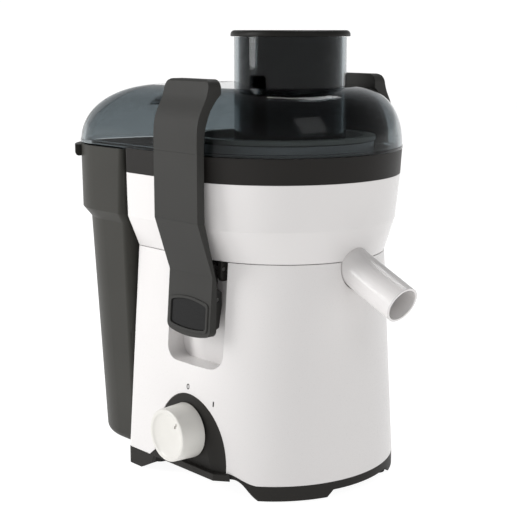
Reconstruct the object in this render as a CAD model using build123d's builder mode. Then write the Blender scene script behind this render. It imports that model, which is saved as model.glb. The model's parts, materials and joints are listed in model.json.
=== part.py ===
"""Centrifugal juicer with a side spout, a removable pulp container and two draw latches.

Frame: +Z up, origin at the centre of the footprint on the plane the feet stand on. +X points
to the spout, -Y to the user's side with the dial, and the pulp container is at -X. Millimetres.
Sub-parts are drawn round the motor axis and moved into the frame when they are written.
"""
import math
import os

from build123d import *

os.makedirs("parts", exist_ok=True)

# Heights
FOOT_PAD_HEIGHT = 1.5
# Motor axis in the shared frame, whose origin is the centre of the footprint's box
AXIS_X = 17.84
AXIS_Y = 3.85

NOSE_SEAT = 12.8
BASE_TOP = 15.0
LEDGE_TOP = 20.0
DECK_BOTTOM = 159.5
DECK_TOP = 162.5
SEAM = 175.3
SEAM_GAP = 0.5
CREASE = 199.1
COLLAR_BOTTOM = 233.0
RIM = 251.6
DOME_TOP = 298.1
CHUTE_TOP = 334.0
CAP_TOP = 338.8

# Plan outlines: nose semi-axis along X, half width along Y, distance of the flat rear
SEAM_PLAN = (82.0, 79.5, 77.0)
BASE_PLAN = (87.5, 92.0, 77.0)
CREASE_PLAN = (86.7, 91.0, 75.2)
COLLAR_LOW_PLAN = (91.1, 93.0, 73.5)
RIM_PLAN = (92.2, 94.0, 72.6)
REAR_CORNER = 5.0
WALL = 2.6

# Feed chute and pusher
CHUTE_X = 11.5
CHUTE_RADIUS = 42.0
CHUTE_BORE = 39.0
CHUTE_BOTTOM = 228.0
PUSHER_RADIUS = 38.3
PUSHER_BOTTOM = 213.0
CAP_RADIUS = 44.6
CAP_UNDERSIDE = 334.3

# Lid dome
DOME_HEIGHT = DOME_TOP - RIM
DOME_SIDE_INSET = 43.0
DOME_SIDE_POWER = 2.4
DOME_REAR_INSET = 85.0
DOME_REAR_POWER = 1.9
DOME_STATIONS = (0.0, 10.0, 19.0, 27.0, 34.0, 39.5, 43.5, 46.0)
LID_REAR = 163.0
LID_REAR_HALF_WIDTH = 93.0
LID_REAR_CORNER = 48.0
VENT_X = -106.0
VENT_PITCH = 5.5
VENT_COUNT = 12
VENT_LENGTH = 36.0

# Juice well and spout
WELL_RADIUS = 69.0
WELL_WALL = 2.5
WELL_TOP = 258.0
WELL_FLOOR = 166.0
BOSS_BORE = 12.5
SPOUT_RADIUS = 14.0
SPOUT_BORE = 12.2
SPOUT_GAP = 0.6
SPOUT_TIP = (126.7, 149.0)
SPOUT_SLOPE = 24.6
SPOUT_LENGTH = 65.0

# Latches, placed by the distance from the XZ plane
LATCH_X = 0.0
LATCH_WIDTH = 49.5
LATCH_BOTTOM = 118.5
LATCH_SHOULDER = 205.0
LATCH_BEND = 254.0
LATCH_TOP = 305.0
LATCH_FACE = 101.3
CHEEK_OFFSET = 17.8
CHEEK_THICKNESS = 4.0
NICHE_X = -2.6
NICHE_WIDTH = 58.8
NICHE_BOTTOM = 95.0
NICHE_BACK = 70.0
NICHE_CORNER = 11.0
NICHE_WALL = 2.4
LINK_PIVOT = (75.5, 169.5)
LATCH_PIVOT = (79.0, 147.0)
LINK_WIDTH = 30.0
PIN_RADIUS = 1.5
PIN_PLAY = 0.06
EAR_OFFSET = 20.5
EAR_THICKNESS = 4.0
BRACKET_BOTTOM = 160.5
BADGE_CENTRE = 135.6
PLUNGER_X = -2.0
PLUNGER_Z = 153.5
PLUNGER_TIP = 75.4
PLUNGER_RADIUS = 1.9

# Dial and its panel
DIAL_X = -4.5
DIAL_Z = 45.0
DIAL_FACE = 109.0
DIAL_REAR = 89.2
DIAL_RADIUS = 20.4
PANEL_FACE = 88.3
PANEL_THICKNESS = 2.8
PANEL_GAP = 0.25
ARCH_X = -4.0
ARCH_HALF_WIDTH = 38.0
ARCH_TOP = 72.6
ARCH_POWER = 2.1

# Motor
SHAFT_RADIUS = 4.0
SHAFT_PLAY = 0.05
STATOR_SIZE = 76.0
STATOR_BOTTOM = 84.0
STATOR_TOP = 119.0
STATOR_BORE = 22.3
BOLT_SPACING = 62.0
BOLT_RADIUS = 2.0

# Strainer basket
BASKET_FLOOR = 200.0
GRATER_RADIUS = 50.0
GRATER_TOP = 206.0
MESH_LOW_RADIUS = 54.0
MESH_HIGH_RADIUS = 65.0
MESH_TOP = 256.0
MESH_THICKNESS = 0.7

# Pulp container
BIN_WALL = 2.4
BIN_CORNER = 50.0

BIN_LEVELS = (12.0, 192.0, 200.0, 250.2)
BIN_PLANS = ((79.0, 82.5, 151.0), (79.0, 88.8, 158.4), (77.8, 94.0, 162.5), (75.0, 94.2, 163.2))

# Base
RIM_DEPTH = 3.0
SCREW_PLACES = ((56.0, 61.0), (56.0, -61.0), (-66.0, 80.0), (-66.0, -80.0))
PAD_PLACES = ((67.0, 42.0), (67.0, -42.0), (-66.0, 68.0), (-66.0, -68.0))


def write_part(builder, label):
    """Name a finished sub-part and write its STEP file."""
    with BuildPart() as placed:
        with Locations((AXIS_X, AXIS_Y, 0)):
            add(builder.part)
    placed.part.label = label
    export_step(placed.part, f"parts/{label}.step")


def inset(plan, depth):
    """A plan outline drawn in by a wall thickness."""
    front, half_width, rear = plan
    return (front - depth, half_width - depth, rear - depth)


def body_outline(plan, corner=REAR_CORNER):
    """Half ellipse at the spout side, straight flanks and a flat rear."""
    front, half_width, rear = plan
    with BuildSketch() as outline:
        with BuildLine():
            EllipticalCenterArc((0, 0), front, half_width, -90, arc_size=180)
            Polyline((0, half_width), (-rear, half_width), (-rear, -half_width), (0, -half_width))
        make_face()
        fillet(outline.vertices().group_by(Axis.X)[0], corner)
    return outline.sketch


def tapered_body(stations, corner=REAR_CORNER):
    """Ruled solid through (height, plan) stations."""
    with BuildPart() as body:
        for height, plan in stations:
            with BuildSketch(Plane.XY.offset(height)):
                add(body_outline(plan, corner))
        loft(ruled=True)
    return body.part


def housing_plan(height):
    """Outline of the lower housing at a height, between its base and its seam."""
    share = (height - NOSE_SEAT) / (SEAM - NOSE_SEAT)
    return tuple(low + share * (high - low) for low, high in zip(BASE_PLAN, SEAM_PLAN))


def niche_block(grow):
    """Both latch recesses as solid blocks, grown outwards by a wall thickness."""
    height = 2 * (SEAM - NICHE_BOTTOM)
    with BuildPart() as block:
        with BuildSketch(Plane.XZ.offset(NICHE_BACK - grow)):
            with Locations((NICHE_X, NICHE_BOTTOM - grow + height / 2)):
                RectangleRounded(NICHE_WIDTH + 2 * grow, height, NICHE_CORNER + grow)
        extrude(amount=60)
        mirror(about=Plane.XZ)
    return block.part


def below_shell():
    """Everything under the lower edge of the white shell, as a prism through the body."""
    with BuildPart() as space:
        with BuildSketch(Plane.XZ.offset(-120)):
            with BuildLine():
                Polyline((-100, -5), (-100, BASE_TOP), (-48, BASE_TOP), (-42, LEDGE_TOP), (36, LEDGE_TOP))
                Bezier((36, LEDGE_TOP), (42, 19), (47, 14.2), (54, NOSE_SEAT))
                Polyline((54, NOSE_SEAT), (110, NOSE_SEAT), (110, -5), (-100, -5))
            make_face()
        extrude(amount=240)
    return space.part


def side_arches():
    """Arches between the feet under both flanks."""
    with BuildPart() as arch:
        with BuildSketch(Plane.XZ.offset(60)):
            with BuildLine():
                Polyline((-62, -1), (-62, 0), (-46, 8), (-42.5, 15), (30, 15), (34, 16.3), (40, 16.3))
                Bezier((40, 16.3), (47.5, 15), (49, 5), (57, 0))
                Polyline((57, 0), (57, -1), (-62, -1))
            make_face()
        extrude(amount=60)
        mirror(about=Plane.XZ)
    return arch.part


def arch_outline(shrink=0.0):
    """Arch-shaped window of the control panel, on the XZ plane."""
    half_width = ARCH_HALF_WIDTH - shrink
    rise = ARCH_TOP - LEDGE_TOP - shrink
    power = 2 / ARCH_POWER
    quarter = [
        (math.cos(angle) ** power * half_width, LEDGE_TOP + rise * math.sin(angle) ** power)
        for angle in (math.radians(step * 15) for step in range(1, 6))
    ]
    right = [(half_width, LEDGE_TOP), *quarter]
    points = [*right, (0, LEDGE_TOP + rise), *((-x, z) for x, z in reversed(right))]
    with BuildSketch() as outline:
        with BuildLine():
            Spline(*((ARCH_X + x, z) for x, z in points), tangents=[(0, 1), (0, -1)])
            Line((ARCH_X - half_width, LEDGE_TOP), (ARCH_X + half_width, LEDGE_TOP))
        make_face()
    return outline.sketch


def spout_rod(radius, start=0.0, length=SPOUT_LENGTH):
    """Round rod along the spout axis, from its tip towards the bowl."""
    with BuildPart() as rod:
        with Locations(Location((SPOUT_TIP[0], 0, SPOUT_TIP[1]), (0, SPOUT_SLOPE - 90, 0))):
            with Locations((0, 0, start)):
                Cylinder(radius, length, align=(Align.CENTER, Align.CENTER, Align.MIN))
    return rod.part


def well_shape(wall):
    """Juice well as a solid of revolution, drawn in by a wall thickness."""
    low_radius = WELL_RADIUS - 5.0 + WELL_WALL - wall
    high_radius = WELL_RADIUS + WELL_WALL - wall
    floor = DECK_TOP if wall == 0 else WELL_FLOOR
    with BuildPart() as well:
        with BuildSketch(Plane.XZ):
            Polygon(
                (0, floor), (low_radius, floor), (low_radius, 177 + 0.4 * wall),
                (high_radius, 184 + 0.4 * wall), (high_radius, WELL_TOP + wall), (0, WELL_TOP + wall),
                align=None,
            )
        revolve(axis=Axis.Z)
    return well.part


# --- Base ---------------------------------------------------------------------------

with BuildPart() as foot_zones:
    with Locations((68, 53), (68, -53)):
        Box(40, 50, 60)
    with Locations((-70, 76), (-70, -76)):
        Box(20, 34, 60)

with BuildPart() as foot_blocks:
    with BuildSketch(Plane.XY.offset(FOOT_PAD_HEIGHT)):
        add(body_outline(inset(BASE_PLAN, RIM_DEPTH)))
    extrude(amount=BASE_TOP - FOOT_PAD_HEIGHT)
    add(foot_zones.part, mode=Mode.INTERSECT)

with BuildPart() as base_plate:
    with BuildSketch():
        add(body_outline(BASE_PLAN))
        add(body_outline(inset(BASE_PLAN, RIM_DEPTH)), mode=Mode.SUBTRACT)
    extrude(amount=LEDGE_TOP)
    # The rim stops at the white shell, which rises over the side arches
    add(below_shell(), mode=Mode.INTERSECT)
    add(foot_blocks.part)
    with BuildSketch(Plane.XY.offset(BASE_TOP - 0.5)):
        add(body_outline(inset(BASE_PLAN, RIM_DEPTH)))
    extrude(amount=3.0)
    add(side_arches(), mode=Mode.SUBTRACT)
    # Arch under the nose, arch under the rear, and the gap above the pads
    with BuildSketch(Plane.YZ):
        Polygon((-33, -1), (-30, 0), (-23.5, 6.5), (40, 6.5), (47, 0), (53, -1), align=None)
    extrude(amount=100, mode=Mode.SUBTRACT)
    with Locations((-80, 0, 0)):
        Box(40, 116, 15, mode=Mode.SUBTRACT)
    Box(300, 300, 2 * FOOT_PAD_HEIGHT, mode=Mode.SUBTRACT)
    # Cooling slots
    with GridLocations(10, 46, 7, 2):
        Box(4, 34, 60, mode=Mode.SUBTRACT)
    with Locations(*[(x, y, FOOT_PAD_HEIGHT) for x, y in PAD_PLACES]):
        Cylinder(6.5, 3.0, align=(Align.CENTER, Align.CENTER, Align.MIN), mode=Mode.SUBTRACT)
    with Locations(*[(x, y, 0) for x, y in SCREW_PLACES]):
        Cylinder(3.6, 11.5, align=(Align.CENTER, Align.CENTER, Align.MIN), mode=Mode.SUBTRACT)
        Cylinder(1.8, 40, align=(Align.CENTER, Align.CENTER, Align.MIN), mode=Mode.SUBTRACT)
    # Ledge below the control panel
    with BuildSketch(Plane.XY.offset(BASE_TOP)):
        Polygon(
            (-42, -88.7), (-42, -92.2), (28.5, -92.2), (38.5, -84.4), (32, -84.4), (26, -87),
            align=None,
        )
    extrude(amount=LEDGE_TOP - BASE_TOP)
write_part(base_plate, "base_plate")

with BuildPart() as rubber_feet:
    with Locations(*[(x, y, 0) for x, y in PAD_PLACES]):
        Cylinder(6.4, 4.5, align=(Align.CENTER, Align.CENTER, Align.MIN))
    fillet(rubber_feet.edges().group_by(Axis.Z)[0], 0.6)
write_part(rubber_feet, "rubber_feet")

with BuildPart() as base_screws:
    with Locations(*[(x, y, 9.5) for x, y in SCREW_PLACES]):
        Cylinder(3.3, 2.0, align=(Align.CENTER, Align.CENTER, Align.MIN))
        Cylinder(1.5, 26.0, align=(Align.CENTER, Align.CENTER, Align.MIN))
write_part(base_screws, "base_screws")

# --- Lower housing ------------------------------------------------------------------

with BuildPart() as housing_outer:
    add(tapered_body([(NOSE_SEAT, BASE_PLAN), (SEAM - SEAM_GAP, housing_plan(SEAM - SEAM_GAP))]))
    add(below_shell(), mode=Mode.SUBTRACT)

with BuildPart() as housing_inner:
    add(
        tapered_body([
            (NOSE_SEAT - 1, inset(housing_plan(NOSE_SEAT - 1), WALL)),
            (SEAM + 1, inset(housing_plan(SEAM + 1), WALL)),
        ])
    )

with BuildPart() as lower_housing:
    add(housing_outer.part)
    add(housing_inner.part, mode=Mode.SUBTRACT)
    add(niche_block(0.0), mode=Mode.SUBTRACT)
    with BuildSketch(Plane.XZ.offset(70)):
        add(arch_outline())
    extrude(amount=60, mode=Mode.SUBTRACT)
    add(spout_rod(SPOUT_RADIUS + SPOUT_GAP), mode=Mode.SUBTRACT)
    with Locations(Location((-50, 90, 34), (90, 0, 0))):
        Cylinder(7.0, 30, mode=Mode.SUBTRACT)
write_part(lower_housing, "lower_housing")

with BuildPart() as latch_recesses:
    add(niche_block(NICHE_WALL))
    add(housing_inner.part, mode=Mode.INTERSECT)
    split(bisect_by=Plane.XY.offset(SEAM), keep=Keep.BOTTOM)
    add(niche_block(0.0), mode=Mode.SUBTRACT)
    with Locations(Location((PLUNGER_X, -NICHE_BACK, PLUNGER_Z), (90, 0, 0))):
        Cylinder(PLUNGER_RADIUS + PIN_PLAY, 12, mode=Mode.SUBTRACT)

for side_name, keep_side in (("front", Keep.BOTTOM), ("back", Keep.TOP)):
    with BuildPart() as recess:
        add(split(latch_recesses.part, bisect_by=Plane.XZ, keep=keep_side, mode=Mode.PRIVATE))
    write_part(recess, f"{side_name}_recess")

with BuildPart() as motor_deck:
    with BuildSketch(Plane.XY.offset(DECK_BOTTOM)):
        add(body_outline(inset(SEAM_PLAN, WALL + 1.2)))
    extrude(amount=DECK_TOP - DECK_BOTTOM)
    add(niche_block(NICHE_WALL), mode=Mode.SUBTRACT)
    add(spout_rod(SPOUT_RADIUS + SPOUT_GAP), mode=Mode.SUBTRACT)
    with GridLocations(BOLT_SPACING, BOLT_SPACING, 2, 2):
        with Locations((0, 0, DECK_BOTTOM)):
            Cylinder(5.5, 13.5, align=(Align.CENTER, Align.CENTER, Align.MAX))
    with Locations((0, 0, DECK_BOTTOM)):
        Cylinder(14, 20, mode=Mode.SUBTRACT)
    with GridLocations(BOLT_SPACING, BOLT_SPACING, 2, 2):
        with Locations((0, 0, 140)):
            Cylinder(BOLT_RADIUS, 14, align=(Align.CENTER, Align.CENTER, Align.MIN), mode=Mode.SUBTRACT)
write_part(motor_deck, "motor_deck")

with BuildPart() as screw_bosses:
    with Locations(*[(x, y, BASE_TOP + 2.5) for x, y in SCREW_PLACES]):
        Cylinder(6.5, 30, align=(Align.CENTER, Align.CENTER, Align.MIN))
    add(housing_inner.part, mode=Mode.INTERSECT)
    with Locations(*[(x, y, 0) for x, y in SCREW_PLACES]):
        Cylinder(1.5, 40, align=(Align.CENTER, Align.CENTER, Align.MIN), mode=Mode.SUBTRACT)
write_part(screw_bosses, "screw_bosses")

# --- Control panel and dial ---------------------------------------------------------

with BuildPart() as panel_core:
    add(tapered_body([(NOSE_SEAT, inset(BASE_PLAN, 3.0)), (SEAM, inset(SEAM_PLAN, 3.0))]))
    with Locations((0, -PANEL_FACE + PANEL_THICKNESS, 50)):
        Box(300, 60, 300, align=(Align.CENTER, Align.MAX, Align.CENTER), mode=Mode.SUBTRACT)

with BuildPart() as control_panel:
    add(tapered_body([(NOSE_SEAT, inset(BASE_PLAN, 0.2)), (SEAM, inset(SEAM_PLAN, 0.2))]))
    with Locations((0, -PANEL_FACE, 50)):
        Box(300, 60, 300, align=(Align.CENTER, Align.MAX, Align.CENTER), mode=Mode.SUBTRACT)
    add(panel_core.part, mode=Mode.SUBTRACT)
    with BuildSketch(Plane.XZ.offset(70)):
        add(arch_outline(PANEL_GAP))
    extrude(amount=40, mode=Mode.INTERSECT)
    with BuildSketch(Plane.XZ.offset(60)):
        with Locations((DIAL_X, DIAL_Z)):
            Circle(5.0)
    extrude(amount=40, mode=Mode.SUBTRACT)
write_part(control_panel, "control_panel")

dial_plane = Plane((DIAL_X, -DIAL_REAR, DIAL_Z), x_dir=(1, 0, 0), z_dir=(0, 0, -1))
dial_axis = Axis((DIAL_X, 0, DIAL_Z), (0, 1, 0))
with BuildPart() as dial_knob:
    length = DIAL_FACE - DIAL_REAR
    with BuildSketch(dial_plane):
        with BuildLine():
            Polyline((0, length - 1.9), (0, 0), (DIAL_RADIUS + 0.4, 0), (DIAL_RADIUS - 0.6, length))
            Line((DIAL_RADIUS - 0.6, length), (DIAL_RADIUS - 3.6, length))
            Spline(
                (DIAL_RADIUS - 3.6, length),
                (DIAL_RADIUS - 7, length - 1.3),
                (0, length - 1.9),
                tangents=[(-1, -0.9), (-1, 0)],
            )
        make_face()
    revolve(axis=dial_axis)
    fillet(dial_knob.edges().filter_by(GeomType.CIRCLE).group_by(Axis.Y)[0], 1.2)
    with BuildSketch(Plane.XZ.offset(DIAL_REAR)):
        with Locations((DIAL_X, DIAL_Z)):
            Circle(SHAFT_RADIUS)
    extrude(amount=12, mode=Mode.SUBTRACT)
    # Pointer notch, standing at the mark on the right of the top one
    with BuildSketch(Plane.XZ.offset(DIAL_FACE - 2.6)):
        with Locations(Location((DIAL_X + 9.9, DIAL_Z + 9.1), 42)):
            SlotOverall(7.0, 2.0)
    extrude(amount=4, mode=Mode.SUBTRACT)
write_part(dial_knob, "dial_knob")

with BuildPart() as dial_shaft:
    with BuildSketch(Plane.XZ.offset(66)):
        with Locations((DIAL_X, DIAL_Z)):
            Circle(3.0)
    extrude(amount=DIAL_REAR - 66)
    with BuildSketch(Plane.XZ.offset(DIAL_REAR)):
        with Locations((DIAL_X, DIAL_Z)):
            Circle(SHAFT_RADIUS)
    extrude(amount=12)
write_part(dial_shaft, "dial_shaft")

with BuildPart() as rotary_switch:
    with BuildSketch(Plane.XZ.offset(62)):
        with Locations((DIAL_X, DIAL_Z)):
            RectangleRounded(32, 30, 3)
    extrude(amount=22.5)
    with BuildSketch(Plane.XZ.offset(62)):
        with Locations((DIAL_X - 9, DIAL_Z - 8), (DIAL_X + 9, DIAL_Z - 8), (DIAL_X, DIAL_Z + 8)):
            Rectangle(6.3, 0.8)
    extrude(amount=-9)
    with BuildSketch(Plane.XZ.offset(65)):
        with Locations((DIAL_X, DIAL_Z)):
            Circle(3.0 + PIN_PLAY)
    extrude(amount=30, mode=Mode.SUBTRACT)
write_part(rotary_switch, "rotary_switch")

with BuildPart() as cord_inlet:
    with BuildSketch(Plane.XZ.offset(-86)):
        with Locations((-50, 34)):
            Circle(7.0)
            Circle(3.4, mode=Mode.SUBTRACT)
    extrude(amount=-9)
    with BuildSketch(Plane.XZ.offset(-92.2)):
        with Locations((-50, 34)):
            Circle(9.5)
            Circle(3.4, mode=Mode.SUBTRACT)
    extrude(amount=-2.8)
write_part(cord_inlet, "cord_inlet")

# --- Motor --------------------------------------------------------------------------

with BuildPart() as stator_core:
    with BuildSketch(Plane.XY.offset(STATOR_BOTTOM)):
        RectangleRounded(STATOR_SIZE, STATOR_SIZE, 10)
        Circle(STATOR_BORE, mode=Mode.SUBTRACT)
        with GridLocations(36, 54, 2, 2):
            Rectangle(12.4, 8.6, mode=Mode.SUBTRACT)
        with GridLocations(BOLT_SPACING, BOLT_SPACING, 2, 2):
            Circle(BOLT_RADIUS, mode=Mode.SUBTRACT)
    extrude(amount=STATOR_TOP - STATOR_BOTTOM)
write_part(stator_core, "stator_core")

with BuildPart() as field_coils:
    for side in (-1, 1):
        with BuildSketch(Plane.XZ.offset(side * 27 + 4)):
            with Locations((0, (STATOR_BOTTOM + STATOR_TOP) / 2)):
                RectangleRounded(47.6, 51, 6)
                Rectangle(24.2, 35.6, mode=Mode.SUBTRACT)
        extrude(amount=-8)
write_part(field_coils, "field_coils")

with BuildPart() as upper_bracket:
    with BuildSketch(Plane.XY.offset(139)):
        with Locations(Rotation(0, 0, 45), Rotation(0, 0, -45)):
            SlotOverall(100, 14)
        Circle(19)
        with GridLocations(BOLT_SPACING, BOLT_SPACING, 2, 2):
            Circle(BOLT_RADIUS, mode=Mode.SUBTRACT)
    extrude(amount=3)
    with Locations((0, 0, 139)):
        Cylinder(15, 13, align=(Align.CENTER, Align.CENTER, Align.MIN))
        Cylinder(5.5, 20, mode=Mode.SUBTRACT)
    with Locations((0, 0, 142)):
        Cylinder(11, 10, align=(Align.CENTER, Align.CENTER, Align.MIN), mode=Mode.SUBTRACT)
write_part(upper_bracket, "upper_motor_bracket")

with BuildPart() as lower_bracket:
    with BuildSketch(Plane.XY.offset(54)):
        with Locations(Rotation(0, 0, 45), Rotation(0, 0, -45)):
            SlotOverall(100, 14)
        Rectangle(74, 16)
        Circle(19)
        with GridLocations(BOLT_SPACING, BOLT_SPACING, 2, 2):
            Circle(BOLT_RADIUS, mode=Mode.SUBTRACT)
    extrude(amount=3)
    with Locations((0, 0, 57)):
        Cylinder(15, 13, align=(Align.CENTER, Align.CENTER, Align.MAX))
    with GridLocations(48, 10, 2, 1):
        with Locations((0, 0, 57)):
            Box(16, 12, 5.5, align=(Align.CENTER, Align.CENTER, Align.MIN))
    with GridLocations(BOLT_SPACING, BOLT_SPACING, 2, 2):
        with Locations((0, 0, 57)):
            Cylinder(4.5, STATOR_BOTTOM - 57, align=(Align.CENTER, Align.CENTER, Align.MIN))
            Cylinder(BOLT_RADIUS, 90, mode=Mode.SUBTRACT)
    with Locations((0, 0, 57)):
        Cylinder(5.5, 40, mode=Mode.SUBTRACT)
    with Locations((0, 0, 54)):
        Cylinder(11, 20, align=(Align.CENTER, Align.CENTER, Align.MAX), mode=Mode.SUBTRACT)
write_part(lower_bracket, "lower_motor_bracket")

for bearing_label, bearing_base in (("upper_bearing", 142.0), ("lower_bearing", 47.0)):
    with BuildPart() as bearing:
        with Locations((0, 0, bearing_base)):
            Cylinder(11, 7, align=(Align.CENTER, Align.CENTER, Align.MIN))
            Cylinder(SHAFT_RADIUS + SHAFT_PLAY, 40, mode=Mode.SUBTRACT)
        chamfer(bearing.edges().filter_by(GeomType.CIRCLE).sort_by(SortBy.RADIUS)[-2:], 0.6)
    write_part(bearing, bearing_label)

with BuildPart() as motor_bolts:
    with GridLocations(BOLT_SPACING, BOLT_SPACING, 2, 2):
        with Locations((0, 0, 50.5)):
            Cylinder(3.8, 3.5, align=(Align.CENTER, Align.CENTER, Align.MIN))
            Cylinder(BOLT_RADIUS, 102, align=(Align.CENTER, Align.CENTER, Align.MIN))
write_part(motor_bolts, "motor_bolts")

with BuildPart() as spacers:
    with GridLocations(BOLT_SPACING, BOLT_SPACING, 2, 2):
        with Locations((0, 0, STATOR_TOP)):
            Cylinder(4.5, 139 - STATOR_TOP, align=(Align.CENTER, Align.CENTER, Align.MIN))
            Cylinder(BOLT_RADIUS, 90, mode=Mode.SUBTRACT)
write_part(spacers, "motor_spacers")

with BuildPart() as motor_mounts:
    with GridLocations(BOLT_SPACING, BOLT_SPACING, 2, 2):
        with Locations((0, 0, 142)):
            Cylinder(6.5, 4, align=(Align.CENTER, Align.CENTER, Align.MIN))
            Cylinder(BOLT_RADIUS, 30, mode=Mode.SUBTRACT)
write_part(motor_mounts, "motor_mounts")

with BuildPart() as brush_holders:
    with GridLocations(48, 10, 2, 1):
        with Locations((0, 0, 62.5)):
            Box(20, 9, 10, align=(Align.CENTER, Align.CENTER, Align.MIN))
        with Locations((0, 0, 64.0)):
            Box(60, 6.2, 7.2, align=(Align.CENTER, Align.CENTER, Align.MIN), mode=Mode.SUBTRACT)
write_part(brush_holders, "brush_holders")

with BuildPart() as carbon_brushes:
    with GridLocations(40, 10, 2, 1):
        with Locations((0, 0, 64.1)):
            Box(17.4, 6.0, 7.0, align=(Align.CENTER, Align.CENTER, Align.MIN))
write_part(carbon_brushes, "carbon_brushes")

with BuildPart() as shaft_seal:
    with Locations((0, 0, 157.5)):
        Cylinder(17, 2, align=(Align.CENTER, Align.CENTER, Align.MIN))
        Cylinder(14, 5, align=(Align.CENTER, Align.CENTER, Align.MIN))
        Cylinder(SHAFT_RADIUS + 0.08, 30, mode=Mode.SUBTRACT)
write_part(shaft_seal, "shaft_seal")

with BuildPart() as motor_shaft:
    with Locations((0, 0, 44)):
        Cylinder(SHAFT_RADIUS, 136, align=(Align.CENTER, Align.CENTER, Align.MIN))
    chamfer(motor_shaft.edges(), 0.5)
write_part(motor_shaft, "motor_shaft")

with BuildPart() as armature_core:
    with BuildSketch(Plane.XY.offset(STATOR_BOTTOM)):
        Circle(STATOR_BORE - 0.7)
        with PolarLocations(STATOR_BORE - 4.5, 12):
            SlotOverall(6, 3.2, mode=Mode.SUBTRACT)
        with PolarLocations(STATOR_BORE - 0.7, 12):
            Rectangle(5, 1.4, mode=Mode.SUBTRACT)
        Circle(SHAFT_RADIUS, mode=Mode.SUBTRACT)
    extrude(amount=STATOR_TOP - STATOR_BOTTOM)
write_part(armature_core, "armature_core")

with BuildPart() as armature_windings:
    for winding_base in (75.0, STATOR_TOP):
        with BuildSketch(Plane.XY.offset(winding_base)):
            Circle(19.5)
            Circle(SHAFT_RADIUS, mode=Mode.SUBTRACT)
        extrude(amount=9 if winding_base < STATOR_BOTTOM else 7)
    fillet(armature_windings.edges().filter_by(GeomType.CIRCLE).group_by(Axis.Z)[0].sort_by(SortBy.RADIUS)[-1], 3)
    fillet(armature_windings.edges().filter_by(GeomType.CIRCLE).group_by(Axis.Z)[-1].sort_by(SortBy.RADIUS)[-1], 3)
write_part(armature_windings, "armature_windings")

with BuildPart() as commutator:
    with BuildSketch(Plane.XY.offset(61)):
        Circle(11)
        with PolarLocations(11, 16):
            Rectangle(2, 0.5, mode=Mode.SUBTRACT)
        Circle(SHAFT_RADIUS, mode=Mode.SUBTRACT)
    extrude(amount=14)
write_part(commutator, "commutator")

with BuildPart() as cooling_fan:
    with Locations((0, 0, 128)):
        Cylinder(8, 8, align=(Align.CENTER, Align.CENTER, Align.MIN))
        Cylinder(34, 1.5, align=(Align.CENTER, Align.CENTER, Align.MIN))
        with PolarLocations(20, 11):
            Box(27, 1.4, 8, align=(Align.CENTER, Align.CENTER, Align.MIN))
        Cylinder(SHAFT_RADIUS, 40, mode=Mode.SUBTRACT)
write_part(cooling_fan, "cooling_fan")

with BuildPart() as drive_coupling:
    with BuildSketch(Plane.XY.offset(164)):
        Circle(9.5)
        with PolarLocations(9.5, 6):
            Rectangle(4, 3.4, mode=Mode.SUBTRACT)
    extrude(amount=26)
    with Locations((0, 0, 164)):
        Cylinder(SHAFT_RADIUS, 16, align=(Align.CENTER, Align.CENTER, Align.MIN), mode=Mode.SUBTRACT)
write_part(drive_coupling, "drive_coupling")

# --- Strainer basket ----------------------------------------------------------------

with BuildPart() as basket_base:
    with BuildSketch(Plane.XZ):
        with BuildLine():
            Polyline(
                (0, 190), (10, 190), (17.2, 190), (17.2, 178), (20, 178), (22, 198), (50, 198),
                (57, 204), (57, 210), (54.9, 210), (54, GRATER_TOP), (54, 204.4), (0, 204.4), (0, 190),
            )
        make_face()
    revolve(axis=Axis.Z)
write_part(basket_base, "basket_base")

with BuildPart() as grater_disc:
    with Locations((0, 0, 204.4)):
        Cylinder(GRATER_RADIUS, 1.2, align=(Align.CENTER, Align.CENTER, Align.MIN))
    for ring, count in enumerate((8, 14, 20, 26)):
        with Locations((0, 0, 205.6)):
            with PolarLocations(13 + 10.5 * ring, count, start_angle=6 * ring):
                Cone(1.7, 0.25, 2.6, align=(Align.CENTER, Align.CENTER, Align.MIN))
    with Locations((0, 0, 205.6)):
        Cylinder(6, 1.6, align=(Align.CENTER, Align.CENTER, Align.MIN))
write_part(grater_disc, "grater_disc")

with BuildPart() as filter_mesh:
    with BuildSketch(Plane.XZ):
        with BuildLine():
            Polyline(
                (MESH_LOW_RADIUS, GRATER_TOP), (MESH_HIGH_RADIUS, MESH_TOP),
                (MESH_HIGH_RADIUS - MESH_THICKNESS, MESH_TOP), (MESH_LOW_RADIUS - MESH_THICKNESS, GRATER_TOP),
                (MESH_LOW_RADIUS, GRATER_TOP),
            )
        make_face()
    revolve(axis=Axis.Z)
write_part(filter_mesh, "filter_mesh")

with BuildPart() as basket_ring:
    with BuildSketch(Plane.XZ):
        with BuildLine():
            Polyline(
                (MESH_HIGH_RADIUS, 252), (68.2, 252), (68.2, 258.8), (72.6, 258.8), (72.6, 262),
                (63.6, 262), (63.6, MESH_TOP), (MESH_HIGH_RADIUS, MESH_TOP), (MESH_HIGH_RADIUS, 252),
            )
        make_face()
    revolve(axis=Axis.Z)
write_part(basket_ring, "basket_ring")

# --- Juice bowl, collar and lid -----------------------------------------------------

with BuildPart() as niche_relief:
    add(niche_block(NICHE_WALL + 0.3))
    split(bisect_by=Plane.XY.offset(SEAM), keep=Keep.BOTTOM)

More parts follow.
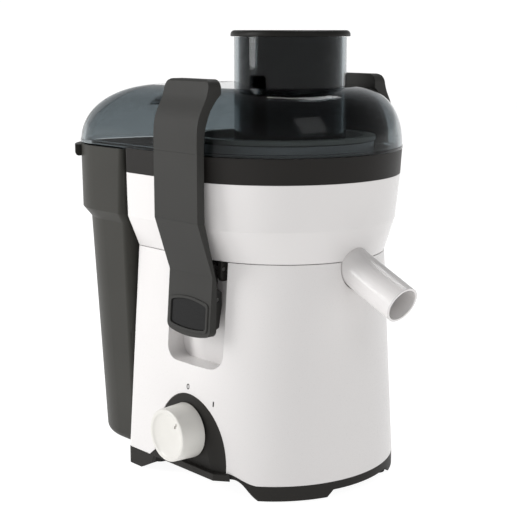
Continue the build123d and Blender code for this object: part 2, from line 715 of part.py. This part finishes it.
with BuildPart() as juice_bowl:
    bowl_plans = [(SEAM, SEAM_PLAN), (CREASE, CREASE_PLAN), (COLLAR_BOTTOM, COLLAR_LOW_PLAN)]
    add(tapered_body(bowl_plans))
    add(tapered_body([(DECK_TOP, inset(SEAM_PLAN, 3.4)), (SEAM, inset(SEAM_PLAN, 3.4))]))
    add(
        tapered_body([
            (DECK_TOP, inset(SEAM_PLAN, 5.2)),
            (SEAM, inset(SEAM_PLAN, 5.2)),
            (CREASE, inset(CREASE_PLAN, WALL)),
            (COLLAR_BOTTOM + 1, inset(COLLAR_LOW_PLAN, WALL)),
        ]),
        mode=Mode.SUBTRACT,
    )
    add(niche_relief.part, mode=Mode.SUBTRACT)
    add(well_shape(0.0), mode=Mode.SUBTRACT)
    add(spout_rod(SPOUT_RADIUS), mode=Mode.SUBTRACT)
write_part(juice_bowl, "juice_bowl")

with BuildPart() as juice_well:
    add(well_shape(0.0))
    add(well_shape(WELL_WALL), mode=Mode.SUBTRACT)
    with Locations((0, 0, WELL_FLOOR)):
        Cylinder(BOSS_BORE + 2.5, 18, align=(Align.CENTER, Align.CENTER, Align.MIN))
        Cylinder(BOSS_BORE, 60, mode=Mode.SUBTRACT)
    add(niche_relief.part, mode=Mode.SUBTRACT)
    add(spout_rod(SPOUT_BORE, length=SPOUT_LENGTH + 6), mode=Mode.SUBTRACT)
write_part(juice_well, "juice_well")

with BuildPart() as juice_spout:
    add(spout_rod(SPOUT_RADIUS))
    add(spout_rod(SPOUT_BORE, -1, SPOUT_LENGTH + 2), mode=Mode.SUBTRACT)
    add(well_shape(0.0), mode=Mode.SUBTRACT)
write_part(juice_spout, "juice_spout")

with BuildPart() as bowl_collar:
    add(tapered_body([(COLLAR_BOTTOM, COLLAR_LOW_PLAN), (RIM, RIM_PLAN)]))
    add(
        tapered_body([
            (COLLAR_BOTTOM - 1, inset(COLLAR_LOW_PLAN, 6.0)),
            (RIM + 1, inset(RIM_PLAN, 6.0)),
        ]),
        mode=Mode.SUBTRACT,
    )
    with Locations((-70, 0, RIM)):
        Box(40, 116, 30, mode=Mode.SUBTRACT)
    with Locations((0, 0, RIM)):
        Cylinder(WELL_RADIUS + WELL_WALL, 60, mode=Mode.SUBTRACT)
write_part(bowl_collar, "bowl_collar")


def dome_inset(height, reach, power):
    """How far the dome has drawn in at a height above the rim."""
    return reach * (1 - (1 - (height / DOME_HEIGHT) ** power) ** (1 / power))


def lid_outline(height, wall=0.0):
    """Plan of the lid at a height above the rim: elliptical nose, round rear corners."""
    side = dome_inset(height, DOME_SIDE_INSET, DOME_SIDE_POWER)
    rear = dome_inset(height, DOME_REAR_INSET, DOME_REAR_POWER)
    front = RIM_PLAN[0] - side - wall
    half_width = RIM_PLAN[1] - side - wall
    rear_half_width = LID_REAR_HALF_WIDTH - side - wall
    rear_x = LID_REAR - rear - wall
    corner = LID_REAR_CORNER - 0.45 * rear - wall
    with BuildSketch() as outline:
        with BuildLine():
            EllipticalCenterArc((0, 0), front, half_width, -90, arc_size=180)
            Polyline(
                (0, half_width),
                (-rear_x, rear_half_width),
                (-rear_x, -rear_half_width),
                (0, -half_width),
            )
        make_face()
        fillet(outline.vertices().group_by(Axis.X)[0], corner)
    return outline.sketch


def dome(wall=0.0, drop=0.0):
    """Lid dome as a smooth loft, drawn in and lowered by a wall thickness."""
    with BuildPart() as body:
        for height in DOME_STATIONS:
            with BuildSketch(Plane.XY.offset(RIM + height - drop)):
                add(lid_outline(height, wall))
        loft()
    return body.part


with BuildPart() as lid:
    add(dome())
    add(dome(WALL, WALL), mode=Mode.SUBTRACT)
    # Rim flange, with the skirt that drops inside the collar
    with BuildSketch(Plane.XY.offset(RIM)):
        add(lid_outline(0.0, -0.4))
        add(lid_outline(0.0, 8.4), mode=Mode.SUBTRACT)
    extrude(amount=2.0)
    with BuildSketch(Plane.XY.offset(RIM)):
        add(lid_outline(0.0, 6.6))
        add(lid_outline(0.0, 8.4), mode=Mode.SUBTRACT)
        with Locations((-158, 0)):
            Rectangle(200, 220, mode=Mode.SUBTRACT)
    extrude(amount=-5.0)
    with Locations((CHUTE_X, 0, DOME_TOP)):
        Cylinder(CHUTE_RADIUS, 40, mode=Mode.SUBTRACT)
    # Vent slots over the pulp container
    with GridLocations(VENT_PITCH, 1, VENT_COUNT, 1):
        with Locations((VENT_X, 0, DOME_TOP - 8)):
            Box(2.4, VENT_LENGTH, 30, mode=Mode.SUBTRACT)
write_part(lid, "lid")

# Open from the top to just above the grater
with BuildPart() as feed_chute:
    with Locations((CHUTE_X, 0, CHUTE_BOTTOM)):
        Cylinder(CHUTE_RADIUS, CHUTE_TOP - CHUTE_BOTTOM, align=(Align.CENTER, Align.CENTER, Align.MIN))
        Cylinder(CHUTE_BORE, 300, mode=Mode.SUBTRACT)
write_part(feed_chute, "feed_chute")

# --- Pusher -------------------------------------------------------------------------

with BuildPart() as food_pusher:
    with Locations((CHUTE_X, 0, PUSHER_BOTTOM)):
        Cylinder(PUSHER_RADIUS, CAP_UNDERSIDE - PUSHER_BOTTOM, align=(Align.CENTER, Align.CENTER, Align.MIN))
    fillet(food_pusher.edges().group_by(Axis.Z)[0], 2.0)
    with Locations((CHUTE_X, 0, PUSHER_BOTTOM + WALL)):
        Cylinder(PUSHER_RADIUS - 2.4, 200, align=(Align.CENTER, Align.CENTER, Align.MIN), mode=Mode.SUBTRACT)
write_part(food_pusher, "food_pusher")

with BuildPart() as pusher_cap:
    with Locations((CHUTE_X, 0, CAP_UNDERSIDE)):
        Cylinder(CAP_RADIUS, CAP_TOP - CAP_UNDERSIDE, align=(Align.CENTER, Align.CENTER, Align.MIN))
    fillet(pusher_cap.edges().group_by(Axis.Z)[-1], 3.2)
    fillet(pusher_cap.edges().group_by(Axis.Z)[0], 0.6)
    with Locations((CHUTE_X, 0, CAP_UNDERSIDE)):
        Cylinder(PUSHER_RADIUS - 2.5, 7, align=(Align.CENTER, Align.CENTER, Align.MAX))
        Cylinder(PUSHER_RADIUS - 5.0, 20, align=(Align.CENTER, Align.CENTER, Align.MAX), mode=Mode.SUBTRACT)
write_part(pusher_cap, "pusher_cap")

# --- Pulp container -----------------------------------------------------------------


def bin_outline(front, half_width, rear, depth=0.0):
    """Plan of the pulp container, drawn in by a wall thickness."""
    length = rear - front - 2 * depth
    with BuildSketch() as outline:
        with Locations((-(rear + front) / 2, 0)):
            Rectangle(length, 2 * (half_width - depth))
        fillet(outline.vertices().group_by(Axis.X)[0], BIN_CORNER - depth)
        fillet(outline.vertices().group_by(Axis.X)[-1], 4.0 - depth)
    return outline.sketch


def bin_body(bottom, depth=0.0):
    """Pulp container as a solid, from a bottom height to its rim."""
    with BuildPart() as body:
        for height, plan in zip((bottom, *BIN_LEVELS[1:]), BIN_PLANS):
            with BuildSketch(Plane.XY.offset(height)):
                add(bin_outline(*plan, depth))
        loft(ruled=True)
    return body.part


with BuildPart() as pulp_container:
    add(bin_body(BIN_LEVELS[0]))
    fillet(pulp_container.edges().group_by(Axis.Z)[0], 6.0)
    # Finger lip round the rear of the rim
    with BuildSketch(Plane.XY.offset(BIN_LEVELS[-1] - 10)):
        add(bin_outline(*BIN_PLANS[-1], -5.0))
        with Locations((-38, 0)):
            Rectangle(200, 260, mode=Mode.SUBTRACT)
    extrude(amount=9.0)
    fillet(pulp_container.faces().sort_by(Axis.X)[0].edges().group_by(Axis.Z)[0], 3.0)
    add(bin_body(BIN_LEVELS[0] + BIN_WALL, BIN_WALL), mode=Mode.SUBTRACT)
    # Way in for the pulp, over the front wall
    with Locations((-76, 0, BIN_LEVELS[-1])):
        Box(20, 100, 20, mode=Mode.SUBTRACT)
write_part(pulp_container, "pulp_container")

# --- Latches ------------------------------------------------------------------------



def latch_slab(profile):
    """Piece of a latch arm from its side view, with the arm's rounded front view."""
    with BuildPart() as slab:
        with BuildSketch(Plane.YZ.offset(LATCH_X - LATCH_WIDTH / 2)):
            add(profile)
        extrude(amount=LATCH_WIDTH)
        with BuildSketch(Plane.XZ) as front_view:
            with BuildLine():
                half = LATCH_WIDTH / 2
                corner = LATCH_BOTTOM + 3.4
                Polyline((-half, corner), (-half, LATCH_TOP), (half, LATCH_TOP), (half, corner))
                ThreePointArc((half, corner), (0, LATCH_BOTTOM), (-half, corner))
            make_face()
            fillet(front_view.vertices().group_by(Axis.Y)[0], 5.0)
            fillet(front_view.vertices().group_by(Axis.Y)[-1], 6.5)
        extrude(amount=-140, mode=Mode.INTERSECT)
    return slab.part


with BuildSketch() as lever_profile:
    with BuildLine():
        Polyline(
            (LATCH_FACE, LATCH_SHOULDER),
            (87.9, 165.0),
            (91.5, LATCH_BOTTOM),
            (85.0, LATCH_BOTTOM),
            (83.9, 160.0),
            (95.0, LATCH_SHOULDER),
            (LATCH_FACE, LATCH_SHOULDER),
        )
    make_face()

with BuildSketch() as shank_profile:
    with Locations(((LATCH_FACE + 95.0) / 2, (LATCH_SHOULDER + LATCH_BEND) / 2)):
        Rectangle(LATCH_FACE - 95.0, LATCH_BEND - LATCH_SHOULDER)

with BuildSketch() as hook_profile:
    with BuildLine():
        Line((95.0, LATCH_BEND), (LATCH_FACE, LATCH_BEND))
        Spline(
            (LATCH_FACE, LATCH_BEND),
            (LATCH_FACE, 264.0),
            (98.6, 280.5),
            (92.6, 292.0),
            (89.4, LATCH_TOP - 1.5),
            tangents=[(0, 1), (-0.25, 1)],
        )
        Line((89.4, LATCH_TOP - 1.5), (87.8, LATCH_TOP))
        Line((87.8, LATCH_TOP), (79.0, LATCH_TOP))
        Line((79.0, LATCH_TOP), (79.0, 294.4))
        Spline(
            (79.0, 294.4),
            (84.2, 289.6),
            (89.2, 282.6),
            (93.2, 272.0),
            (95.0, LATCH_BEND),
            tangents=[(1, -0.7), (0, -1)],
        )
    make_face()

# Pivot cheeks reach into the recess on both sides of the link
with BuildPart() as latch_cheeks:
    for cheek_x in (LATCH_X - CHEEK_OFFSET, LATCH_X + CHEEK_OFFSET):
        with BuildSketch(Plane.YZ.offset(cheek_x - CHEEK_THICKNESS / 2)):
            Polygon((84.6, 123.5), (78.0, 126.0), (75.2, 142.0), (75.2, 152.0), (84.4, 159.0), align=None)
        extrude(amount=CHEEK_THICKNESS)

badge_plane = Plane(
    origin=(LATCH_X, 90.18, BADGE_CENTRE), x_dir=(-1, 0, 0), z_dir=(0, 0.997, 0.0772)
)


def badge_outline(grow=0.0):
    """Rounded plate with an arched top and bottom edge."""
    half_width = 20.2 + grow
    low = -9.6 - grow
    high = 7.4 + grow
    with BuildSketch() as outline:
        with BuildLine():
            Line((-half_width, high), (-half_width, low))
            ThreePointArc((-half_width, low), (0, low - 2.0), (half_width, low))
            Line((half_width, low), (half_width, high))
            ThreePointArc((half_width, high), (0, high + 3.0), (-half_width, high))
        make_face()
        fillet(outline.vertices(), 2.5 + grow / 2)
    return outline.sketch


with BuildPart() as badge_plate:
    with BuildSketch(badge_plane.offset(-1.2)):
        add(badge_outline(-0.1))
    extrude(amount=1.2)
    fillet(badge_plate.faces().sort_by(Axis.Y)[-1].edges(), 0.4)

with BuildPart() as badge_pocket:
    with BuildSketch(badge_plane.offset(-1.2)):
        add(badge_outline())
    extrude(amount=6)

with BuildPart() as badge_frame:
    with BuildSketch(badge_plane.offset(-1.0)):
        add(badge_outline(2.0))
    extrude(amount=2.0)
    fillet(badge_frame.faces().sort_by(Axis.Y)[-1].edges(), 0.6)

with BuildPart() as latch_lever:
    add(latch_slab(lever_profile.sketch))
    add(badge_frame.part)
    add(badge_pocket.part, mode=Mode.SUBTRACT)
    add(latch_cheeks.part)
    with Locations(Location((LATCH_X, *LATCH_PIVOT), (0, 90, 0))):
        Cylinder(PIN_RADIUS, 60, mode=Mode.SUBTRACT)

with BuildPart() as latch_shank:
    add(latch_slab(shank_profile.sketch))

with BuildPart() as latch_hook:
    add(latch_slab(hook_profile.sketch))

with BuildPart() as latch_pin:
    with Locations(Location((LATCH_X, *LATCH_PIVOT), (0, 90, 0))):
        Cylinder(PIN_RADIUS, 2 * CHEEK_OFFSET + CHEEK_THICKNESS - 1)

with BuildPart() as link_pins:
    with Locations(Location((LATCH_X, *LINK_PIVOT), (0, 90, 0))):
        Cylinder(PIN_RADIUS, 2 * EAR_OFFSET + EAR_THICKNESS - 0.5)
    mirror(about=Plane.XZ)
write_part(link_pins, "link_pins")

with BuildPart() as link:
    with BuildSketch(Plane.YZ.offset(LATCH_X - LINK_WIDTH / 2)):
        with Locations(LINK_PIVOT, LATCH_PIVOT):
            Circle(3.5)
        with BuildLine():
            Line(LINK_PIVOT, LATCH_PIVOT)
        trace(line_width=4.0)
        with Locations(LINK_PIVOT, LATCH_PIVOT):
            Circle(PIN_RADIUS + PIN_PLAY, mode=Mode.SUBTRACT)
    extrude(amount=LINK_WIDTH)

# Brackets on the backs of the recesses, with the ears that hold the fixed pivots
with BuildPart() as link_brackets:
    with Locations((LATCH_X, NICHE_BACK + 0.6, (BRACKET_BOTTOM + SEAM) / 2)):
        Box(2 * EAR_OFFSET + EAR_THICKNESS, 1.2, SEAM - BRACKET_BOTTOM - 0.4)
    for ear_x in (LATCH_X - EAR_OFFSET, LATCH_X + EAR_OFFSET):
        with BuildSketch(Plane.YZ.offset(ear_x - EAR_THICKNESS / 2)):
            Polygon(
                (NICHE_BACK, BRACKET_BOTTOM + 0.2), (76.5, BRACKET_BOTTOM + 0.2), (78.4, 165.0),
                (77.6, SEAM - 0.2), (NICHE_BACK, SEAM - 0.2), align=None,
            )
        extrude(amount=EAR_THICKNESS)
    with Locations(Location((LATCH_X, *LINK_PIVOT), (0, 90, 0))):
        Cylinder(PIN_RADIUS, 60, mode=Mode.SUBTRACT)
    mirror(about=Plane.XZ)
write_part(link_brackets, "link_brackets")

latch_pieces = {
    "latch_lever": latch_lever.part,
    "latch_shank": latch_shank.part,
    "latch_hook": latch_hook.part,
    "latch_pin": latch_pin.part,
    "latch_badge": badge_plate.part,
    "link": link.part,
}
for piece_label, piece in latch_pieces.items():
    with BuildPart() as back_piece:
        add(piece)
    write_part(back_piece, f"back_{piece_label}")
    with BuildPart() as front_piece:
        mirror(piece, about=Plane.XZ)
    write_part(front_piece, f"front_{piece_label}")

# --- Safety switch worked by the front link -------------------------------------------

with BuildPart() as safety_switch:
    with BuildSketch(Plane.XZ.offset(54)):
        with Locations((PLUNGER_X, PLUNGER_Z)):
            RectangleRounded(20, 11, 1.5)
    extrude(amount=NICHE_BACK - NICHE_WALL - 54)
    with BuildSketch(Plane.XZ.offset(54)):
        with Locations((PLUNGER_X - 6, PLUNGER_Z), (PLUNGER_X, PLUNGER_Z), (PLUNGER_X + 6, PLUNGER_Z)):
            Rectangle(0.8, 5)
    extrude(amount=-6)
    with BuildSketch(Plane.XZ.offset(57)):
        with Locations((PLUNGER_X, PLUNGER_Z)):
            Circle(PLUNGER_RADIUS + PIN_PLAY)
    extrude(amount=20, mode=Mode.SUBTRACT)
write_part(safety_switch, "safety_switch")

with BuildPart() as safety_plunger:
    with BuildSketch(Plane.XZ.offset(58)):
        with Locations((PLUNGER_X, PLUNGER_Z)):
            Circle(PLUNGER_RADIUS)
    extrude(amount=PLUNGER_TIP - 58)
    fillet(safety_plunger.edges().group_by(Axis.Y)[0], 0.8)
write_part(safety_plunger, "safety_plunger")
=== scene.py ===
"""Looks of the centrifugal juicer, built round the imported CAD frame. Metres."""

import json
import math

import bmesh
import bpy
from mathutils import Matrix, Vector
from mathutils.bvhtree import BVHTree


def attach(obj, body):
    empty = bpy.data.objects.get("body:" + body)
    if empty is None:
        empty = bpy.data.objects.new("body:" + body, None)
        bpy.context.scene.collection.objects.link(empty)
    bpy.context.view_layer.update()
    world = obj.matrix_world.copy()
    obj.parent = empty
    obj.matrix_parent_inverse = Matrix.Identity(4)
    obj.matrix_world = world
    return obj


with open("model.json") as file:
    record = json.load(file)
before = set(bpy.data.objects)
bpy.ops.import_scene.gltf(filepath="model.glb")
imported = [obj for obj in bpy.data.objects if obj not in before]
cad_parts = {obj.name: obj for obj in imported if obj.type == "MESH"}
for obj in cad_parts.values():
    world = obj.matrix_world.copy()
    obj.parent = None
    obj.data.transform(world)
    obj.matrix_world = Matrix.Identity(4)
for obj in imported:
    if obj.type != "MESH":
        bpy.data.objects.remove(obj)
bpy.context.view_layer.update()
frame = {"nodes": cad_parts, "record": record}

MM = 0.001
AXIS = Vector((0.01784, 0.00385, 0.0))  # foot of the motor axis

# ---------------------------------------------------------------- materials


def new_material(name):
    """An empty material with its Principled shader, its node tree and object coordinates."""
    material = bpy.data.materials.new(name)
    material.use_nodes = True
    tree = material.node_tree
    shader = tree.nodes["Principled BSDF"]
    coordinates = tree.nodes.new("ShaderNodeTexCoord")
    return material, tree, shader, coordinates.outputs["Object"]


def noise(tree, vector, scale, detail, stretch=None):
    """Noise value at a scale in cycles per metre, optionally stretched along an axis."""
    if stretch is not None:
        mapping = tree.nodes.new("ShaderNodeMapping")
        mapping.inputs["Scale"].default_value = stretch
        tree.links.new(vector, mapping.inputs["Vector"])
        vector = mapping.outputs["Vector"]
    texture = tree.nodes.new("ShaderNodeTexNoise")
    texture.inputs["Scale"].default_value = scale
    texture.inputs["Detail"].default_value = detail
    tree.links.new(vector, texture.inputs["Vector"])
    return texture.outputs["Fac"]


def ramp(tree, factor, low, high, start=0.3, end=0.7):
    """Colour ramp between two colours or grey values."""
    node = tree.nodes.new("ShaderNodeValToRGB")
    first, last = node.color_ramp.elements
    first.position = start
    last.position = end
    first.color = (*low, 1.0) if isinstance(low, tuple) else (low, low, low, 1.0)
    last.color = (*high, 1.0) if isinstance(high, tuple) else (high, high, high, 1.0)
    tree.links.new(factor, node.inputs["Fac"])
    return node.outputs["Color"]


def rounded_bump(tree, shader, height, strength, distance, edge_radius):
    """Fine surface relief, on top of edges that catch the light as if slightly rounded."""
    bump = tree.nodes.new("ShaderNodeBump")
    bump.inputs["Strength"].default_value = strength
    bump.inputs["Distance"].default_value = distance
    tree.links.new(height, bump.inputs["Height"])
    if edge_radius > 0:
        bevel = tree.nodes.new("ShaderNodeBevel")
        bevel.samples = 4
        bevel.inputs["Radius"].default_value = edge_radius
        tree.links.new(bevel.outputs["Normal"], bump.inputs["Normal"])
    tree.links.new(bump.outputs["Normal"], shader.inputs["Normal"])


def moulded_plastic(name, color, shade, rough, grain, relief, edge_radius=0.0006, sheen=0.5):
    """Injection-moulded plastic: faint flow marks, fine grain and uneven gloss."""
    material, tree, shader, place = new_material(name)
    flow = noise(tree, place, 14.0, 2.0)
    fine = noise(tree, place, grain, 4.0)
    darker = tuple(channel * shade for channel in color)
    tree.links.new(ramp(tree, flow, darker, color), shader.inputs["Base Color"])
    low, high = rough
    tree.links.new(ramp(tree, fine, low, high), shader.inputs["Roughness"])
    rounded_bump(tree, shader, fine, relief, 0.00025, edge_radius)
    shader.inputs["IOR"].default_value = 1.5
    shader.inputs["Specular IOR Level"].default_value = sheen
    return material


def dark_plastic(name, color, rough, grain, relief):
    """Matt dark moulding with a leathery grain and little surface gloss."""
    return moulded_plastic(name, color, 0.88, rough, grain, relief, sheen=0.1)


def smoke_plastic(name, tint, rough):
    """Clear smoke-tinted plastic with faint moulding streaks."""
    material, tree, shader, place = new_material(name)
    streaks = noise(tree, place, 30.0, 3.0)
    shader.inputs["Base Color"].default_value = (*tint, 1.0)
    shader.inputs["Transmission Weight"].default_value = 1.0
    shader.inputs["IOR"].default_value = 1.24
    tree.links.new(ramp(tree, streaks, rough, rough + 0.03), shader.inputs["Roughness"])
    return material


def metal(name, color, rough, stretch, scale=900.0):
    """Metal with a directional brushed or turned finish."""
    material, tree, shader, place = new_material(name)
    lines = noise(tree, place, scale, 4.0, stretch)
    darker = tuple(channel * 0.8 for channel in color)
    tree.links.new(ramp(tree, lines, darker, color), shader.inputs["Base Color"])
    shader.inputs["Metallic"].default_value = 1.0
    low, high = rough
    tree.links.new(ramp(tree, lines, low, high), shader.inputs["Roughness"])
    rounded_bump(tree, shader, lines, 0.15, 0.0001, 0.0)
    return material


WHITE = (0.735, 0.715, 0.705)
OFF_WHITE = (0.69, 0.675, 0.635)
CREAM = (0.60, 0.58, 0.52)
DARK = (0.026, 0.0245, 0.0225)
BIN = (0.045, 0.044, 0.039)
COLLAR = (0.021, 0.0195, 0.018)
LATCH = (0.041, 0.0405, 0.038)
CAP = (0.015, 0.0145, 0.013)
BLACK = (0.012, 0.012, 0.012)
SMOKE = (0.33, 0.365, 0.38)
PUSHER_SMOKE = (0.008, 0.009, 0.01)

materials = {
    "white_shell": moulded_plastic("white_shell", WHITE, 0.985, (0.26, 0.34), 1600.0, 0.03),
    "white_bowl": moulded_plastic("white_bowl", WHITE, 0.985, (0.20, 0.28), 1600.0, 0.03),
    "dial_white": moulded_plastic("dial_white", OFF_WHITE, 0.97, (0.30, 0.38), 1800.0, 0.05),
    "basket_plastic": moulded_plastic("basket_plastic", CREAM, 0.95, (0.32, 0.42), 1500.0, 0.06),
    "coupling_plastic": moulded_plastic("coupling_plastic", CREAM, 0.95, (0.35, 0.45), 1500.0, 0.06),
    "dark_base": dark_plastic("dark_base", DARK, (0.46, 0.56), 2200.0, 0.22),
    "dark_trim": dark_plastic("dark_trim", DARK, (0.42, 0.52), 2200.0, 0.22),
    "dark_bin": dark_plastic("dark_bin", BIN, (0.38, 0.48), 2200.0, 0.2),
    "dark_collar": dark_plastic("dark_collar", COLLAR, (0.36, 0.46), 2200.0, 0.18),
    "dark_latch": dark_plastic("dark_latch", LATCH, (0.40, 0.50), 2400.0, 0.25),
    "dark_cap": dark_plastic("dark_cap", CAP, (0.34, 0.44), 2200.0, 0.18),
    "badge": dark_plastic("badge", BLACK, (0.22, 0.30), 2600.0, 0.08),
    "link_plastic": dark_plastic("link_plastic", DARK, (0.42, 0.52), 2000.0, 0.2),
    "switch_black": dark_plastic("switch_black", BLACK, (0.4, 0.5), 1800.0, 0.15),
    "foot_rubber": dark_plastic("foot_rubber", BLACK, (0.7, 0.85), 1400.0, 0.5),
    "inlet_rubber": dark_plastic("inlet_rubber", BLACK, (0.65, 0.8), 1400.0, 0.5),
    "carbon": dark_plastic("carbon", DARK, (0.5, 0.65), 1200.0, 0.4),
    "smoke_clear": smoke_plastic("smoke_clear", SMOKE, 0.03),
    "smoke_pusher": smoke_plastic("smoke_pusher", PUSHER_SMOKE, 0.05),
    "basket_steel": metal("basket_steel", (0.62, 0.62, 0.61), (0.22, 0.38), (1, 1, 12)),
    "screw_steel": metal("screw_steel", (0.60, 0.60, 0.60), (0.25, 0.4), (1, 1, 8)),
    "lamination": metal("lamination", (0.33, 0.33, 0.34), (0.4, 0.55), (0.05, 0.05, 6), 1500.0),
    "bracket_metal": metal("bracket_metal", (0.62, 0.62, 0.63), (0.45, 0.6), (1, 1, 1), 700.0),
    "bearing_bronze": metal("bearing_bronze", (0.55, 0.42, 0.25), (0.35, 0.5), (1, 1, 1)),
    "brass": metal("brass", (0.72, 0.58, 0.30), (0.28, 0.4), (1, 8, 1)),
    "copper": metal("copper", (0.62, 0.27, 0.12), (0.35, 0.5), (1, 1, 20), 1200.0),
    "commutator_copper": metal("commutator_copper", (0.72, 0.40, 0.24), (0.2, 0.35), (1, 1, 10)),
}

node_slots = {entry["node"]: entry["material_slot"] for entry in frame["record"]["subparts"]}
for node_name, node_object in frame["nodes"].items():
    node_object.data.materials.clear()
    node_object.data.materials.append(materials[node_slots[node_name]])

# ---------------------------------------------------------------- printed marks on the housing


PRINT_THICKNESS = 0.12 * MM
PRINT_START_Y = -0.2  # rays start in front of the shell


def printed_mark(name, loops_outer, loops_inner, centre):
    """A thin printed mark laid on the front of the housing, as a ring or a bar."""
    shell = frame["nodes"]["lower_housing"].data
    finder = BVHTree.FromPolygons(
        [vertex.co for vertex in shell.vertices], [face.vertices for face in shell.polygons]
    )
    mesh = bmesh.new()

    def on_shell(x, z, lift):
        start = Vector((AXIS.x + centre[0] + x, PRINT_START_Y, centre[1] + z))
        hit = finder.ray_cast(start, Vector((0, 1, 0)))[0]
        return mesh.verts.new((start.x, hit.y - lift, start.z))

    rings = []
    for lift in (PRINT_THICKNESS, -PRINT_THICKNESS):
        outer = [on_shell(x, z, lift) for x, z in loops_outer]
        inner = [on_shell(x, z, lift) for x, z in loops_inner]
        rings.append((outer, inner))
    count = len(loops_outer)
    (top_outer, top_inner), (low_outer, low_inner) = rings
    for step in range(count):
        after = (step + 1) % count
        mesh.faces.new((top_outer[step], top_outer[after], top_inner[after], top_inner[step]))
        mesh.faces.new((low_outer[after], low_outer[step], low_inner[step], low_inner[after]))
        mesh.faces.new((top_outer[after], top_outer[step], low_outer[step], low_outer[after]))
        mesh.faces.new((top_inner[step], top_inner[after], low_inner[after], low_inner[step]))
    bmesh.ops.recalc_face_normals(mesh, faces=mesh.faces)
    data = bpy.data.meshes.new(name)
    mesh.to_mesh(data)
    mesh.free()
    piece = bpy.data.objects.new(name, data)
    bpy.context.scene.collection.objects.link(piece)
    data.materials.append(mark_ink)
    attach(piece, "housing")


def oval(half_width, half_height, power, count=40):
    """Points of a rounded oval about the origin."""
    angles = [2 * math.pi * step / count for step in range(count)]
    return [
        (
            math.copysign(abs(math.cos(angle)) ** (2 / power), math.cos(angle)) * half_width,
            math.copysign(abs(math.sin(angle)) ** (2 / power), math.sin(angle)) * half_height,
        )
        for angle in angles
    ]


mark_ink = dark_plastic("mark_ink", DARK, (0.4, 0.5), 2000.0, 0.05)
printed_mark(
    "mark_off", oval(1.5 * MM, 2.1 * MM, 2.2), oval(0.85 * MM, 1.4 * MM, 2.2), (-5.7 * MM, 77.8 * MM)
)
printed_mark(
    "mark_on", oval(0.5 * MM, 1.9 * MM, 12), oval(0.02 * MM, 1.2 * MM, 2), (21.0 * MM, 69.8 * MM)
)

# ---------------------------------------------------------------- stage, camera and light


LIGHT_TARGET = Vector((0, 0, 0.17))


def softbox(name, azimuth, elevation, distance, size, power):
    """A rectangular soft light aimed at the object from an azimuth and elevation in degrees."""
    light = bpy.data.lights.new(name, "AREA")
    light.shape = "RECTANGLE"
    light.size, light.size_y = size
    light.energy = power
    lamp = bpy.data.objects.new(name, light)
    bpy.context.scene.collection.objects.link(lamp)
    turn, rise = math.radians(azimuth), math.radians(elevation)
    reach = math.cos(rise)
    direction = Vector((math.cos(turn) * reach, math.sin(turn) * reach, math.sin(rise)))
    lamp.location = LIGHT_TARGET + direction * distance
    lamp.rotation_euler = (LIGHT_TARGET - lamp.location).to_track_quat("-Z", "Y").to_euler()


softbox("key_left", 235, 25, 1.7, (0.5, 1.4), 21)
softbox("fill_right", 352, 38, 1.8, (0.7, 0.9), 3)
softbox("top", 120, 60, 2.2, (0.8, 0.8), 12)

FLOOR_REACH = 12.0
floor_corners = [
    (side_x * FLOOR_REACH, side_y * FLOOR_REACH, 0) for side_x, side_y in ((-1, -1), (1, -1), (1, 1), (-1, 1))
]
floor_mesh = bpy.data.meshes.new("floor")
floor_mesh.from_pydata(floor_corners, [], [(0, 1, 2, 3)])
floor = bpy.data.objects.new("floor", floor_mesh)
bpy.context.scene.collection.objects.link(floor)
floor_paint, floor_tree, floor_shader, floor_place = new_material("floor_paint")
tone = ramp(floor_tree, noise(floor_tree, floor_place, 3.0, 3.0), 0.30, 0.31)
floor_tree.links.new(tone, floor_shader.inputs["Base Color"])
floor_shader.inputs["Roughness"].default_value = 0.9
floor_shader.inputs["Specular IOR Level"].default_value = 0.1
# Lit from below like a light table
floor_shader.inputs["Emission Color"].default_value = (1.0, 1.0, 1.0, 1.0)
floor_shader.inputs["Emission Strength"].default_value = 0.94
floor_mesh.materials.append(floor_paint)

CAMERA_PLACE = Vector((0.67465, -0.62978, 0.33966))  # from the foot of the motor axis
CAMERA_DOWN = 10.483  # degrees below level
CAMERA_TURN = 47.964
camera_data = bpy.data.cameras.new("camera")
camera_data.sensor_width = 36.0
camera_data.lens = 84.33
camera = bpy.data.objects.new("camera", camera_data)
camera.location = AXIS + CAMERA_PLACE
camera.rotation_euler = (math.radians(90 - CAMERA_DOWN), 0, math.radians(CAMERA_TURN))
bpy.context.scene.collection.objects.link(camera)
bpy.context.scene.camera = camera

# White at the horizon, falling off towards the ceiling
world = bpy.data.worlds.new("world")
world.use_nodes = True
bpy.context.scene.world = world
world_tree = world.node_tree
background = world_tree.nodes["Background"]
sky_place = world_tree.nodes.new("ShaderNodeTexCoord")
height = world_tree.nodes.new("ShaderNodeSeparateXYZ")
sky = world_tree.nodes.new("ShaderNodeValToRGB")
sky.color_ramp.elements[0].position = 0.05
sky.color_ramp.elements[0].color = (1.0, 1.0, 1.0, 1.0)
sky.color_ramp.elements[1].position = 0.75
sky.color_ramp.elements[1].color = (0.2, 0.2, 0.205, 1.0)
middle = sky.color_ramp.elements.new(0.13)
middle.color = (0.5, 0.5, 0.505, 1.0)
world_tree.links.new(sky_place.outputs["Generated"], height.inputs["Vector"])
world_tree.links.new(height.outputs["Z"], sky.inputs["Fac"])
world_tree.links.new(sky.outputs["Color"], background.inputs["Color"])
background.inputs["Strength"].default_value = 1.05

scene = bpy.context.scene
scene.view_settings.view_transform = "Standard"
scene.cycles.use_denoising = True
scene.cycles.max_bounces = 16
scene.cycles.transmission_bounces = 14
scene.cycles.transparent_max_bounces = 16
